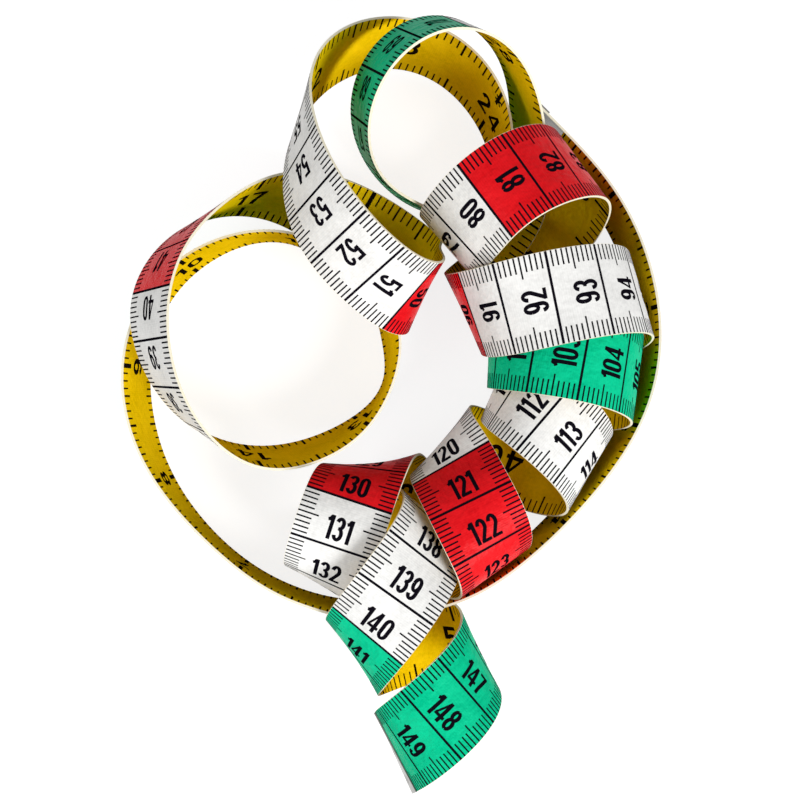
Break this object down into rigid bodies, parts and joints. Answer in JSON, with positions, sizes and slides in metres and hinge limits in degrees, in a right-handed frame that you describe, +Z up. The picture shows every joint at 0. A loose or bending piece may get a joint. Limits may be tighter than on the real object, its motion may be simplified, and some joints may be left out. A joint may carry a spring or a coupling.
{
  "type": "flexible cloth tape measure",
  "caption": "Flexible cloth tape measure with a centimetre scale in colour bands and an inch scale on yellow, dropped in a loose coil that ends in a long ringlet.",
  "frame": {"origin": "middle of the coil's footprint on the table", "axes": "+Z up from the table, +Y along the longer side of the coil, away from the free end of the ringlet"},
  "size_m": [0.1122, 0.1616, 0.0402],
  "materials": {
    "cloth": "woven glass-fibre cloth, cut edge",
    "yellow_coat": "soft vinyl coat, fine weave showing through",
    "red_coat": "soft vinyl coat, satin",
    "white_coat": "soft vinyl coat, satin",
    "green_coat": "soft vinyl coat, satin",
    "tip_metal": "thin nickel-plated sheet, crimped"
  },
  "bodies": {
    "root": {"cloth_core": "cloth", "inch_coat": "yellow_coat", "band_000_red": "red_coat", "band_010_white": "white_coat", "band_020_green": "green_coat", "band_030_white": "white_coat", "band_040_red": "red_coat", "band_050_white": "white_coat", "band_060_green": "green_coat", "band_070_white": "white_coat", "band_080_red": "red_coat", "band_090_white": "white_coat", "band_100_green": "green_coat", "band_110_white": "white_coat", "band_120_red": "red_coat", "band_130_white": "white_coat", "band_140_green": "green_coat", "zero_tip": "tip_metal", "end_tip": "tip_metal"}
  },
  "joints": []
}
